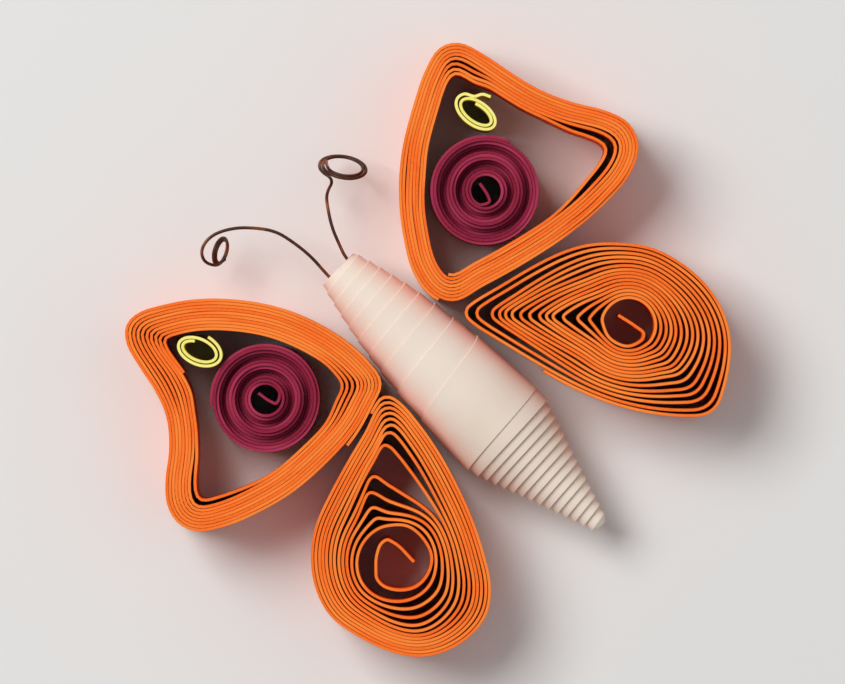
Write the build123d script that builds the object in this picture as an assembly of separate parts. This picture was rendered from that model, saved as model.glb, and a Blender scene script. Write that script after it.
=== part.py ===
from build123d import *
import math
import os
import numpy as np

# Quilled paper butterfly, laid flat: the strips stand on edge on z = 0, the head points to +Y,
# and the origin is under the middle of the whole. All sizes are in millimetres. The pieces are drawn round
# the middle of the body, and all are moved at the end.

# Paper and glue
strip_width = 5.0          # the wings' and coils' strip, which stands on edge
paper = 0.13               # thickness of the strip
turn_air = 0.025           # air between one turn of a roll and the next
glue_gap = 0.04            # between two pieces that are glued side by side
pitch = paper + turn_air   # from one turn to the next

# Body: a tapering strip rolled to a bead, its axis level, its widest turn on z = 0
body_radius = 2.62         # over the outermost turn
head_radius = 1.13         # of the flat head end
tail_radius = 0.42         # of the last ring at the tail
head_reach = 9.05          # from the middle of the body to the head end
tail_reach = 9.0           # from the middle of the body to the tip of the tail
wrap_edge = -2.6           # where the outermost turn stops, toward the tail
head_curve = 2.2           # how late the head side narrows: 1 is a straight cone
body_turn = 1.4            # degrees that the body leans to the left
bore_radius = 0.70         # hole that the roll was wound round, open at the head
bore_depth = 14.0          # straight part of the bore
bore_tip_depth = 17.2      # where the bore closes in the tail
bore_tip_radius = 0.10

# Antennae: curled copper wire, held in the bore
wire_radius = 0.08
wire_insert = 2.6          # length inside the body
wire_play = 0.01           # between the wire and the wall of the bore

# Tight magenta coils
eyespot_hole = 0.72        # radius of the hole that the slotted tool leaves

# Loose yellow coils: ovals, made narrower where the wing's corner leaves less room
loose_half_length = 1.28
loose_turns = 1.9
loose_inner_width = 0.50   # width and length of the innermost turn beside the outermost
loose_inner_length = 0.64

rays_round = 120           # places round a wing at which its turns are worked out
depth_steps = 90           # steps from the edge of a wing to its centre
span_places = 20           # places along one smooth span of a strip's face
oval_places = 84           # places along a loose coil

# A wing's outline is given by points (outward from the body's axis, toward the head), from its root
# on round. Reach is how far the wing spreads outward, and the outline is drawn to that size.
# A parting (turn, direction, half angle, width) is a place where the turns from that one on inward
# stand off from the turn outside them. Directions are in degrees, 0 is outward, 90 toward the head.
# The play is what the eyespot coil's radius leaves free in the opening, and its seat is the direction
# that it is pushed in. The loose coil lies in its own direction from the eyespot coil, and its loose
# end is given by directions from its middle and shares of the way to the wing's wall.
LEFT_FOREWING = dict(
    side=-1,
    reach=12.27,
    turns=9.5,
    seam=250,
    centre=(7.9, 7.5),
    outline=[
        (2.62, 3.5), (2.38, 4.7), (2.45, 6.2), (2.9, 8.0), (3.65, 9.7), (4.85, 11.4), (6.3, 12.85),
        (7.7, 13.8), (8.8, 14.35), (9.6, 14.38), (10.2, 13.8), (10.6, 12.5), (10.9, 11.0),
        (11.35, 9.75), (12.4, 8.5), (13.7, 7.45), (14.45, 6.5), (14.65, 5.5), (14.3, 4.65),
        (13.1, 3.8), (11.2, 3.05), (9.0, 2.55), (7.0, 2.42), (5.2, 2.62), (3.6, 3.12),
    ],
    partings=[
        (1, 262, 34, 0.09), (3, 66, 34, 0.07), (5, 60, 36, 0.10), (7, 57, 32, 0.05),
        (7, 222, 26, 0.07), (8, 222, 26, 0.08), (9, 221, 24, 0.07), (9, 336, 34, 0.20),
    ],
    eyespot_play=0.20,
    eyespot_seat=265,
    loose_direction=80,
    loose_tilt=66,
    loose_half_width=0.86,
    loose_start=165,
    loose_end=[],
)
RIGHT_FOREWING = dict(
    side=1,
    reach=12.9,
    turns=8,
    seam=205,
    centre=(8.2, 7.3),
    outline=[
        (2.4, 3.95), (2.02, 4.9), (2.2, 6.3), (3.1, 7.95), (4.3, 9.5), (5.9, 10.95), (7.8, 12.15),
        (9.7, 13.1), (10.8, 13.35), (11.6, 12.9), (12.1, 11.6), (12.45, 10.0), (12.85, 8.5),
        (13.6, 6.9), (14.5, 5.45), (14.9, 4.2), (14.45, 3.05), (13.2, 2.35), (11.4, 2.15),
        (9.0, 2.28), (6.6, 2.72), (4.2, 3.35),
    ],
    partings=[
        (2, 138, 30, 0.05), (5, 57, 13, 0.10), (6, 57, 15, 0.16), (7, 328, 34, 0.12),
        (8, 322, 46, 0.34),
    ],
    eyespot_play=0.52,
    eyespot_seat=225,
    loose_direction=52,
    loose_tilt=99,
    loose_half_width=0.78,
    loose_start=70,
    loose_end=[(52, 0.3), (30, 0.7), (5, 0.8)],
)
# A hindwing is a roll let loose: its turns share out the free room between the outline and the core.
# A share of 0 leaves a turn tight against those outside it, and 1 draws it in against the core. The
# shares are listed turn by turn for the direction of the root, for the opposite side and for the
# flanks. A swing turns the pinched corner of a turn away from the root's direction, in degrees.
LEFT_HINDWING = dict(
    side=-1,
    reach=9.82,
    turns=12,
    seam=125,
    centre=(8.2, -3.2),
    core=(1.85, 1.75),
    outline=[
        (2.85, 3.1), (2.6, 2.2), (2.66, 0.9), (2.92, -0.8), (3.37, -2.5), (3.97, -4.2),
        (4.77, -5.9), (5.7, -7.4), (6.75, -8.22), (8.0, -8.42), (9.4, -8.15), (10.6, -7.45),
        (11.5, -6.2), (12.1, -4.6), (12.42, -2.95), (12.05, -1.55), (11.2, -0.25), (10.0, 0.75),
        (8.2, 1.5), (6.3, 2.1), (4.7, 2.55), (3.5, 3.0),
    ],
    root_shares=[0, 0, 0, 0, 0.02, 0.03, 0.06, 0.13, 0.48, 0.62, 0.82, 0.92, 1],
    flank_shares=[0, 0, 0.05, 0.1, 0.1, 0.15, 0.25, 0.3, 0.45, 0.5, 0.6, 0.8, 1],
    far_shares=[0, 0, 0, 0, 0, 0, 0, 0, 0.1, 0.22, 0.52, 0.76, 1],
    root_spread=62,
    far_spread=70,
    swings=[0, 0, 0, 0, 0, 0, -1, -4, -15, -24, -28, -28, -28],
    fold=[(-1.62, 0.85), (-1.76, -0.2), (-1.42, -1.1), (-0.75, -1.53), (0.1, -1.58), (0.85, -1.1),
          (1.25, -0.3), (1.2, 0.06), (0.95, 0.36), (0.4, 0.86), (-0.2, 1.1), (-0.47, 1.03),
          (-0.58, 0.76), (-0.65, -0.65)],
)
RIGHT_HINDWING = dict(
    side=1,
    reach=9.75,
    turns=15,
    seam=165,
    centre=(8.05, -2.8),
    core=(1.18, 1.18),
    outline=[
        (2.4, 3.5), (2.42, 2.6), (2.68, 1.4), (3.02, 0.0), (3.43, -1.6), (4.0, -3.4), (4.75, -5.1),
        (5.8, -6.8), (6.9, -8.1), (7.7, -8.78), (8.2, -8.88), (9.0, -8.5), (10.1, -7.8),
        (11.2, -6.75), (11.9, -5.4), (12.15, -4.0), (12.0, -2.4), (11.5, -0.9), (10.6, 0.3),
        (9.3, 1.5), (7.9, 2.2), (6.4, 2.65), (4.8, 3.02), (3.2, 3.4),
    ],
    root_shares=[0, 0, 0.08, 0.2, 0.2, 0.21, 0.23, 0.28, 0.33, 0.4, 0.42, 0.45, 0.55, 0.72, 0.84, 1],
    flank_shares=[0, 0.05, 0.2, 0.32, 0.4, 0.52, 0.66, 0.7, 0.72, 0.75, 0.8, 0.85, 0.88, 0.92, 0.96, 1],
    far_shares=[0, 0, 0.07, 0.14, 0.2, 0.27, 0.35, 0.42, 0.49, 0.58, 0.67, 0.72, 0.77, 0.85, 0.93, 1],
    root_spread=55,
    far_spread=60,
    swings=[0] * 16,
    fold=[(-1.08, -0.3), (-0.8, -0.78), (-0.35, -1.0), (0.0, -1.02), (0.2, -0.84), (0.16, -0.45),
          (-0.08, 0.62)],
)


# Curves in the plane: arrays of points
def hermite(start, end, start_slope, end_slope, steps):
    """Points of the smooth span from each start to each end, without the last one."""
    u = np.linspace(0, 1, steps, endpoint=False)[None, :, None]
    start, end, start_slope, end_slope = (part[:, None] for part in (start, end, start_slope, end_slope))
    return ((1 + 2 * u) * (1 - u) ** 2 * start + u * (1 - u) ** 2 * start_slope
            + u ** 2 * (3 - 2 * u) * end - u ** 2 * (1 - u) * end_slope).reshape(-1, 2)


def closed_curve(points, count):
    """A smooth closed curve through the points, as evenly spaced places."""
    points = np.array(points, float)
    span_in = np.linalg.norm(points - np.roll(points, 1, axis=0), axis=1)[:, None]
    span_out = np.roll(span_in, -1, axis=0)
    after = (np.roll(points, -1, axis=0) - points) / span_out
    before = (points - np.roll(points, 1, axis=0)) / span_in
    slope = (span_in * after + span_out * before) / (span_in + span_out)
    next_slope = np.roll(slope, -1, axis=0)
    dense = hermite(points, np.roll(points, -1, axis=0), slope * span_out, next_slope * span_out, 40)
    return evenly(np.vstack([dense, dense[:1]]), count + 1)[:-1]


def evenly(line, count):
    """The line of points again, as evenly spaced ones."""
    travelled = np.concatenate([[0], np.cumsum(np.linalg.norm(np.diff(line, axis=0), axis=1))])
    places = np.linspace(0, travelled[-1], count)
    return np.column_stack([np.interp(places, travelled, line[:, axis]) for axis in (0, 1)])


def open_curve(points, spacing):
    """A smooth open curve through the points."""
    points = np.array(points, float)
    spans = np.linalg.norm(np.diff(points, axis=0), axis=1)[:, None]
    rates = np.diff(points, axis=0) / spans
    slope = np.vstack([rates[:1], (spans[:-1] * rates[1:] + spans[1:] * rates[:-1])
                       / (spans[:-1] + spans[1:]), rates[-1:]])
    dense = hermite(points[:-1], points[1:], slope[:-1] * spans, slope[1:] * spans, 30)
    dense = np.vstack([dense, points[-1:]])
    length = np.linalg.norm(np.diff(dense, axis=0), axis=1).sum()
    return evenly(dense, max(4, round(length / spacing) + 1))


def distance_to(curve, places):
    """Distance from each place to the closed curve."""
    run = np.roll(curve, -1, axis=0) - curve
    offset = places[:, None] - curve[None]
    share = np.clip((offset * run).sum(axis=2) / (run * run).sum(axis=1), 0, 1)
    return np.linalg.norm(offset - share[..., None] * run, axis=2).min(axis=1)


def inside(curve, places):
    """Which of the places the closed curve goes round."""
    start = curve[None]
    end = np.roll(curve, -1, axis=0)[None]
    x, y = places[:, :1], places[:, 1:]
    spans = (start[..., 1] > y) != (end[..., 1] > y)
    rise = np.where(end[..., 1] == start[..., 1], 1, end[..., 1] - start[..., 1])
    crossing = start[..., 0] + (y - start[..., 1]) / rise * (end[..., 0] - start[..., 0])
    return (spans & (x < crossing)).sum(axis=1) % 2 == 1


def clear(curve, obstacle, gap):
    """Whether the closed curve stays at least the gap outside the obstacle."""
    return distance_to(obstacle, curve).min() >= gap and not inside(obstacle, curve).any()


def slid(curve, obstacle, direction):
    """The closed curve moved along the direction until only the glue lies between it and the obstacle."""
    direction = np.array(direction, float)
    free, blocked = -10.0, 10.0
    for _ in range(40):
        middle = (free + blocked) / 2
        if clear(curve + middle * direction, obstacle, glue_gap):
            free = middle
        else:
            blocked = middle
    return curve + free * direction


def reach_at(curve, centre, degrees):
    """Distance from a centre inside the closed curve to the curve, in the direction given."""
    away = curve - centre
    angle = np.arctan2(away[:, 1], away[:, 0])
    order = np.argsort(angle)
    distance = np.linalg.norm(away, axis=1)[order]
    return float(np.interp(math.radians(degrees), angle[order], distance, period=2 * math.pi))


def toward(degrees):
    return np.array([math.cos(math.radians(degrees)), math.sin(math.radians(degrees))])


class Plan:
    """The outline of a wing, seen from a centre inside it along one ray to each place round its edge."""

    def __init__(self, curve, centre):
        self.curve = curve
        self.centre = np.array(centre, float)
        self.rays = curve - self.centre
        self.reach = np.linalg.norm(self.rays, axis=1)
        self.angle = np.arctan2(self.rays[:, 1], self.rays[:, 0])
        self.share = np.linspace(1, 0.04, depth_steps)
        places = self.centre + self.share[None, :, None] * self.rays[:, None]
        depths = distance_to(curve, places.reshape(-1, 2)).reshape(len(curve), -1)
        self.depths = np.maximum.accumulate(depths, axis=1)

    def inset(self, depth):
        """Radii at which the rays meet the outline set in by the depth, which may differ by ray."""
        depth = np.broadcast_to(depth, self.reach.shape)
        found = [np.interp(wanted, row, self.share) for wanted, row in zip(depth, self.depths)]
        return np.array(found) * self.reach

    def at_angle(self, radii, angle):
        """Radii read at other angles than the rays' own."""
        order = np.argsort(self.angle)
        return np.interp(angle, self.angle[order], radii[order], period=2 * math.pi)

    def window(self, direction, half_angle):
        """1 toward the direction, falling smoothly to 0 at the half angle each side of it."""
        away = (self.angle - math.radians(direction) + math.pi) % (2 * math.pi) - math.pi
        return np.where(np.abs(away) < math.radians(half_angle),
                        np.cos(away * 90 / half_angle) ** 2, 0)

    def soften(self, radii, passes):
        """The radii with each pinched corner eased to the bend that paper can take."""
        for _ in range(passes):
            radii = (np.roll(radii, 1) + 2 * radii + np.roll(radii, -1)) / 4
        return radii

    def place(self, radii):
        return self.centre + self.rays / self.reach[:, None] * radii[:, None]


def forewing_turns(wing, plan):
    """Nested closed turns of a ring wound round a form, each as radii along the plan's rays."""
    turns = []
    for number in range(math.ceil(wing["turns"]) + 1):
        depth = paper / 2 + pitch * number
        for first, direction, half_angle, width in wing["partings"]:
            if number >= first:
                depth = depth + width * plan.window(direction, half_angle)
        turns.append(plan.soften(plan.inset(depth), 2))
    return turns


def hindwing_turns(wing, plan):
    """Nested closed turns of a teardrop, loose between its outline and its round core."""
    root_angle = math.degrees(plan.angle[0])
    near_root = plan.window(root_angle, wing["root_spread"])
    near_far = plan.window(root_angle + 180, wing["far_spread"])
    across, along = wing["core"]
    core = 1 / np.hypot(np.cos(plan.angle) / across, np.sin(plan.angle) / along)
    turns = []
    for number in range(wing["turns"] + 1):
        share = (wing["root_shares"][number] * near_root + wing["far_shares"][number] * near_far
                 + wing["flank_shares"][number] * (1 - near_root - near_far))
        outer = plan.inset(paper / 2 + pitch * number)
        swing = math.radians(wing["swings"][number])
        outer = plan.at_angle(outer, plan.angle - swing * near_root)
        inner = core + pitch * (wing["turns"] - number)
        radii = (1 - share) * outer + share * np.minimum(inner, outer)
        if turns:
            radii = np.minimum(radii, turns[-1] - step_in(turns[-1], plan))
        turns.append(plan.soften(radii, 4))
    return turns


def step_in(radii, plan):
    """How much shorter the radii become when a turn is followed at one pitch inside it."""
    places = plan.place(radii)
    along = np.roll(places, -1, axis=0) - np.roll(places, 1, axis=0)
    along = along / np.linalg.norm(along, axis=1)[:, None]
    ray = plan.rays / plan.reach[:, None]
    facing = np.abs(along[:, 0] * ray[:, 1] - along[:, 1] * ray[:, 0])
    return pitch / np.maximum(facing, 0.35)


def spiral(turns, plan, count, seam):
    """One line that winds from the outermost turn inward, passing gradually from turn to turn."""
    rays = len(plan.rays)
    start = int(np.argmin(1 - np.cos(plan.angle - math.radians(seam))))
    line = []
    for number in range(int(count * rays) + 1):
        turn, step = divmod(number, rays)
        ray = (start + step) % rays
        passed = step / rays
        deeper = min(turn + 1, len(turns) - 1)
        radius = (1 - passed) * turns[turn][ray] + passed * turns[deeper][ray]
        line.append(plan.centre + plan.rays[ray] / plan.reach[ray] * radius)
    return np.array(line)


# Lines that the strips follow
def eyespot_line(centre, radius):
    """A tight round coil, from its outer end in to the fold that crosses its hole."""
    turns = (radius - paper / 2 - eyespot_hole) / pitch
    angle = np.linspace(0, 2 * math.pi * turns, int(turns * 60))
    distance = radius - paper / 2 - pitch * angle / (2 * math.pi)
    angle = angle - angle[-1] + math.radians(200)
    coil = np.column_stack([distance * np.cos(angle), distance * np.sin(angle)])
    fold = [coil[-3], coil[-1], (-0.62 * eyespot_hole, -0.66 * eyespot_hole),
            (-0.28 * eyespot_hole, -0.72 * eyespot_hole), (-0.16 * eyespot_hole, -0.48 * eyespot_hole),
            (0.08 * eyespot_hole, 0.62 * eyespot_hole)]
    return centre + np.vstack([coil[:-3], open_curve(fold, 0.1)])


def loose_line(wing, eyespot_centre, eyespot_radius, half_width, opening):
    """An open oval coil beside the eyespot coil, from its outer end, which may reach the wing's wall."""
    slant = math.radians(wing["loose_tilt"] - wing["loose_direction"])
    support = math.hypot(loose_half_length * math.cos(slant), half_width * math.sin(slant))
    centre = eyespot_centre + toward(wing["loose_direction"]) * (eyespot_radius + glue_gap + support)
    outer = np.array([loose_half_length, half_width]) - paper / 2
    inner = outer * [loose_inner_length, loose_inner_width]
    angle = np.linspace(0, 2 * math.pi * loose_turns, oval_places)
    share = (angle / angle[-1])[:, None] ** 0.8
    size = (1 - share) * outer + share * inner
    angle = angle + math.radians(wing["loose_start"] - wing["loose_tilt"])
    long_way = toward(wing["loose_tilt"])
    short_way = toward(wing["loose_tilt"] + 90)
    oval = size[:, :1] * np.cos(angle)[:, None] * long_way + size[:, 1:] * np.sin(angle)[:, None] * short_way
    end = []
    for direction, way in wing["loose_end"]:
        start = reach_at(oval[-int(oval_places / loose_turns):], np.zeros(2), direction) + pitch
        wall = reach_at(opening, centre, direction) - paper - glue_gap
        end.append(toward(direction) * ((1 - way) * start + way * wall))
    if end:
        end = open_curve(end[::-1] + [oval[0], oval[1]], 0.12)[:-1]
        oval = np.vstack([end, oval[1:]])
    return centre + oval


def wing_line(wing, turns, plan):
    """The strip of a wing, from its outer end to its inner one, with the fold that the tool left."""
    line = spiral(turns, plan, wing["turns"], wing["seam"])
    if "fold" in wing:
        fold = [line[-2], line[-1]] + [plan.centre + point for point in wing["fold"]]
        line = np.vstack([line[:-2], open_curve(fold, 0.12)])
    return line


def wing_outline(wing):
    """The outline drawn to the wing's reach, grown from its root."""
    outline = np.array(wing["outline"], float)
    size = wing["reach"] / np.ptp(outline[:, 0])
    return outline[0] + size * (outline - outline[0]), size


# Solids
def face_spans(points):
    """One face of a strip seen from above: smooth spans that meet in line."""
    along = np.gradient(points, axis=0)
    spans = max(1, round((len(points) - 1) / span_places))
    cuts = np.linspace(0, len(points) - 1, spans + 1).round().astype(int)
    return [Spline(*map(tuple, points[first:last + 1]), tangents=[tuple(along[first]), tuple(along[last])])
            for first, last in zip(cuts, cuts[1:])]


def strip_on_edge(name, line, side=1):
    """A strip of paper that stands on z = 0 along the line, on the right or left of the body."""
    line = line * [side, 1]
    along = np.gradient(line, axis=0)
    along = along / np.linalg.norm(along, axis=1)[:, None]
    aside = np.column_stack([-along[:, 1], along[:, 0]]) * paper / 2
    edges = face_spans(line + aside) + face_spans(line - aside)
    for end in (0, -1):
        edges.append(Line(tuple(line[end] + aside[end]), tuple(line[end] - aside[end])))
    solid = extrude(make_face(edges), strip_width)
    length = np.linalg.norm(np.diff(line, axis=0), axis=1).sum()
    print(f"{name}: {length:.0f} mm of strip, {len(line)} places, "
          f"volume {solid.volume:.1f} of {length * paper * strip_width:.1f}")
    pieces[name] = solid


def body_rings():
    """The body's turns from the outermost in: radius, edge toward the tail, edge toward the head."""
    rings = []
    radius = body_radius
    while radius >= tail_radius:
        fall = (body_radius - radius) / (body_radius - tail_radius)
        rise = min(1, (body_radius - radius + pitch / 2) / (body_radius - head_radius))
        tail_edge = wrap_edge - (tail_reach + wrap_edge) * fall
        head_edge = wrap_edge + (head_reach - wrap_edge) * rise ** (1 / head_curve)
        rings.append((radius, tail_edge, head_edge))
        radius -= pitch
    return rings


def body_steps():
    """Places along the body's axis where its radius changes, from the tail on, each with the new radius."""
    rings = body_rings()
    steps = [(tail_edge, radius) for radius, tail_edge, _ in reversed(rings)]
    for (_, _, head_edge), (narrower, _, _) in zip(rings, rings[1:]):
        if head_edge < head_reach:
            steps.append((head_edge, narrower))
    return steps


def body_profile():
    """Half of the body's section through its axis, without the bore: points of radius and place."""
    steps = body_steps()
    profile = [(0, steps[0][0])]
    for (place, radius), (next_place, _) in zip(steps, steps[1:] + [(head_reach, 0)]):
        profile += [(radius, place), (radius, next_place)]
    return profile


def body_plan():
    """The body seen from above, as a closed curve."""
    half = np.array(body_profile() + [(0, head_reach)])
    whole = np.vstack([half, half[-2:0:-1] * [-1, 1]])
    lean = math.radians(body_turn)
    lengthwise = np.array([-math.sin(lean), math.cos(lean)])
    across = np.array([math.cos(lean), math.sin(lean)])
    return whole[:, :1] * across + whole[:, 1:] * lengthwise


def body():
    """The rolled bead, stepped at the edge of each turn, with its bore open at the head."""
    bore = [(bore_radius, head_reach), (bore_radius, head_reach - bore_depth),
            (bore_tip_radius, head_reach - bore_tip_depth), (0, head_reach - bore_tip_depth)]
    section = make_face(Polyline(*body_profile(), *bore, close=True))
    bead = revolve(section, Axis.Y)
    pieces["rolled_body"] = Pos(0, 0, body_radius) * Rot(0, 0, body_turn) * bead


def curl(centre, half_length, half_width, tilt, start, turns, shrink, advance):
    """Loops of a round curl that is seen tilted: an oval from above, steep from the side."""
    steps = round(abs(turns) * 8)
    slope = math.sqrt(half_length ** 2 - half_width ** 2)
    long_way = Vector(*toward(tilt))
    short_way = Vector(*toward(tilt + 90))
    loops = []
    for step in range(steps + 1):
        angle = math.radians(start) + math.copysign(math.radians(45), turns) * step
        size = 1 - shrink * step / steps
        loops.append(centre + size * (half_length * math.cos(angle) * long_way
                                      + half_width * math.sin(angle) * short_way
                                      + slope * math.sin(angle) * Vector(0, 0, 1))
                     + short_way * advance * step / steps)
    return loops


def arc_radii(points):
    """As large an arc as the two runs beside each corner of a wire allow."""
    radii = []
    for before, here, after in zip(points, points[1:], points[2:]):
        run_in = here - before
        run_out = after - here
        half_turn = math.radians(run_in.get_angle(run_out)) / 2
        radii.append(0.45 * min(run_in.length, run_out.length) / math.tan(half_turn))
    return radii


def antenna(name, side, route, loops):
    """A wire that starts in the bore, leaves the head along the route and ends in loops."""
    mouth = Vector(0, head_reach, body_radius)
    beside = bore_radius - wire_radius - wire_play
    start = mouth + Vector(side * beside, -wire_insert, 0)
    points = [start] + [mouth + Vector(*point) for point in route] + [mouth + point for point in loops]
    path = FilletPolyline(*points, radius=arc_radii(points))
    wire = sweep(Plane(path @ 0, z_dir=path % 0) * Circle(wire_radius), path)
    area = math.pi * wire_radius ** 2
    print(f"{name}: {path.length:.1f} mm of wire, volume {wire.volume:.3f} of {area * path.length:.3f}")
    pieces[name] = Rot(0, 0, body_turn) * wire


LEFT_ROUTE = [(-0.61, 0.1, 0), (-0.50, 1.35, 0.1), (-0.62, 2.5, 0.15), (-0.83, 3.45, 0.15),
              (-1.38, 4.25, 0.1), (-2.15, 5.05, 0.1), (-3.12, 5.57, 0.1), (-3.98, 5.5, 0.05),
              (-4.38, 4.95, 0)]
LEFT_LOOPS = curl(Vector(-3.46, 4.75, 0), 0.78, 0.34, 27, 195, 2.1, 0.25, -0.15)
RIGHT_ROUTE = [(0.61, 0.1, 0), (0.88, 0.8, 0.05), (1.2, 1.6, 0.1), (1.72, 2.4, 0.1), (2.2, 3.0, 0.05)]
RIGHT_LOOPS = curl(Vector(3.68, 3.25, 0), 1.32, 0.66, 125, 75, -2.3, 0.3, -0.1)


def forewing(name, wing, body_outline):
    """The ring, the eyespot coil and the loose coil in its opening; returns the ring's outline."""
    points, size = wing_outline(wing)
    curve = closed_curve(points, rays_round)
    placed = slid(curve, body_outline * [wing["side"], 1], (-1, 0))
    plan = Plan(placed, np.array(wing["centre"]) * size + (placed[0] - curve[0]) + (1 - size) * points[0])
    turns = forewing_turns(wing, plan)
    strip_on_edge(f"{name}_forewing", wing_line(wing, turns, plan), wing["side"])
    opening = plan.place(turns[-1])

    spread = np.linspace(-4, 4, 161)
    places = plan.centre + np.stack(np.meshgrid(spread, spread), axis=-1).reshape(-1, 2)
    room = np.where(inside(opening, places), distance_to(opening, places) - paper / 2, 0)
    radius = room.max() - wing["eyespot_play"]
    fitting = places[room >= radius + glue_gap]
    centre = fitting[np.argmax(fitting @ toward(wing["eyespot_seat"]))]
    strip_on_edge(f"{name}_eyespot_coil", eyespot_line(centre, radius), wing["side"])

    narrow, wide = 0.2, wing["loose_half_width"]
    for _ in range(20):
        half_width = (narrow + wide) / 2
        line = loose_line(wing, centre, radius, half_width, opening)
        if distance_to(opening, line[-oval_places:]).min() < paper + glue_gap:
            wide = half_width
        else:
            narrow = half_width
    print(f"{name}: eyespot at {centre}, radius {radius:.2f}; loose coil "
          f"{half_width:.2f} half wide, {distance_to(opening, line).min() - paper:.3f} from the wall")
    strip_on_edge(f"{name}_loose_coil", line, wing["side"])
    return placed


def hindwing(name, wing, body_outline, forewing_outline):
    """The teardrop, pushed up to the forewing and against the body."""
    points, size = wing_outline(wing)
    curve = closed_curve(points, rays_round)
    placed = curve
    for _ in range(3):
        placed = slid(placed, body_outline * [wing["side"], 1], (-1, 0))
        placed = slid(placed, forewing_outline, (0, 1))
    plan = Plan(placed, np.array(wing["centre"]) * size + (placed[0] - curve[0]) + (1 - size) * points[0])
    print(f"{name}: hindwing moved by {placed[0] - curve[0]}")
    strip_on_edge(f"{name}_hindwing", wing_line(wing, hindwing_turns(wing, plan), plan), wing["side"])


pieces = {}
body()
outline_of_body = body_plan()
left_ring = forewing("left", LEFT_FOREWING, outline_of_body)
right_ring = forewing("right", RIGHT_FOREWING, outline_of_body)
hindwing("left", LEFT_HINDWING, outline_of_body, left_ring)
hindwing("right", RIGHT_HINDWING, outline_of_body, right_ring)
antenna("left_antenna", -1, LEFT_ROUTE, LEFT_LOOPS)
antenna("right_antenna", 1, RIGHT_ROUTE, RIGHT_LOOPS)

# The origin lies under the middle of the whole butterfly, on the surface it lies on.
os.makedirs("parts", exist_ok=True)
boxes = [piece.bounding_box() for piece in pieces.values()]
low = [min(box.min.X for box in boxes), min(box.min.Y for box in boxes)]
high = [max(box.max.X for box in boxes), max(box.max.Y for box in boxes)]
middle = Pos((low[0] + high[0]) / 2, (low[1] + high[1]) / 2, 0)
print(f"from {low} to {high}, so the middle is at {middle.position}")
for name, piece in pieces.items():
    export_step(middle.inverse() * piece, f"parts/{name}.step")
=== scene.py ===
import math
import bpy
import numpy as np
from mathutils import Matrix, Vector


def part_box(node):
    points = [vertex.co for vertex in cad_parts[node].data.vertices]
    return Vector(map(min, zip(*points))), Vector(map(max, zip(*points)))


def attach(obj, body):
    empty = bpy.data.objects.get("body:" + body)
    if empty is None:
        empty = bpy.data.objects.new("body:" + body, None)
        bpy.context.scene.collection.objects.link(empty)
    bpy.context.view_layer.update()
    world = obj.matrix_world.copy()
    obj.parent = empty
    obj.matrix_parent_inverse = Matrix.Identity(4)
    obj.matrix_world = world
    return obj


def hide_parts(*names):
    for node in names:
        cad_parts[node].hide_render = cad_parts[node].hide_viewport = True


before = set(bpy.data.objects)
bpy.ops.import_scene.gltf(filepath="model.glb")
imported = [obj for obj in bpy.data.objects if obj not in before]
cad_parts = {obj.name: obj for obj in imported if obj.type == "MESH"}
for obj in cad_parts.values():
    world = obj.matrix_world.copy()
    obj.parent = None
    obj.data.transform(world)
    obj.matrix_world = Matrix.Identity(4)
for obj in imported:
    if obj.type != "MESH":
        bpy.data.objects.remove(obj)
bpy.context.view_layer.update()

# %% [markdown]
# ## The quilled butterfly
# Every wing and coil of this butterfly is one long strip of paper, rolled, pinched and glued on its edge.
# The script works out the line that each strip follows, seen from above, and Geometry Nodes then stand a
# strip of paper along each line. The imported CAD model gives the places: the middle of its right forewing's
# box sets where the lines lie.


# %% [markdown]
# ## Driving sizes
# The lines are worked out in millimetres, the unit that paper is sold in. `mm` turns them into metres
# when the meshes are made.

# %%
mm = 0.001
strip_width = 5.0          # the wings' and coils' strip, which stands on edge
paper = 0.13               # thickness of the strip
turn_air = 0.025           # air between one turn of a roll and the next
glue_gap = 0.04            # between two pieces that are glued side by side
pitch = paper + turn_air   # from one turn to the next
body_radius = 2.62         # over the outermost turn
head_radius = 1.13         # of the flat head end
tail_radius = 0.42         # of the last ring at the tail
head_reach = 9.05          # from the middle of the body to the head end
tail_reach = 9.0           # from the middle of the body to the tip of the tail
wrap_edge = -2.6           # where the outermost turn stops, toward the tail
head_curve = 2.2           # how late the head side narrows: 1 is a straight cone
body_turn = 1.4            # degrees that the body leans to the left
bore_radius = 0.70         # hole that the roll was wound round, open at the head
bore_depth = 14.0          # straight part of the bore
bore_tip_depth = 17.2      # where the bore closes in the tail
bore_tip_radius = 0.10
wire_radius = 0.08         # of the antennae
wire_insert = 2.6          # length of antenna inside the body
wire_play = 0.01           # between the wire and the wall of the bore
eyespot_hole = 0.72        # radius of the hole that the slotted tool leaves
loose_half_length = 1.28   # of a yellow coil, from its middle to its end
loose_turns = 1.9
loose_inner_width = 0.50   # width and length of the innermost turn beside the outermost
loose_inner_length = 0.64
rays_round = 120           # places round a wing at which its turns are worked out
depth_steps = 90           # steps from the edge of a wing to its centre
oval_places = 84           # places along a loose coil
seat_search = 4.0          # how far from a forewing's middle a seat for its eyespot is looked for
seat_places = 161          # places looked at across that search, each way
narrowest_loose = 0.2      # the least half width that a loose coil may be squeezed to
halvings = 20              # steps in finding the widest loose coil that fits
print(f"one turn takes {pitch:.3f} mm")

# %% [markdown]
# ## The wings' shapes
# A forewing is a ring wound round a form. A hindwing is a roll that is let loose and pinched, so its
# turns spread out inside a teardrop. The lists say where the turns part.

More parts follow.
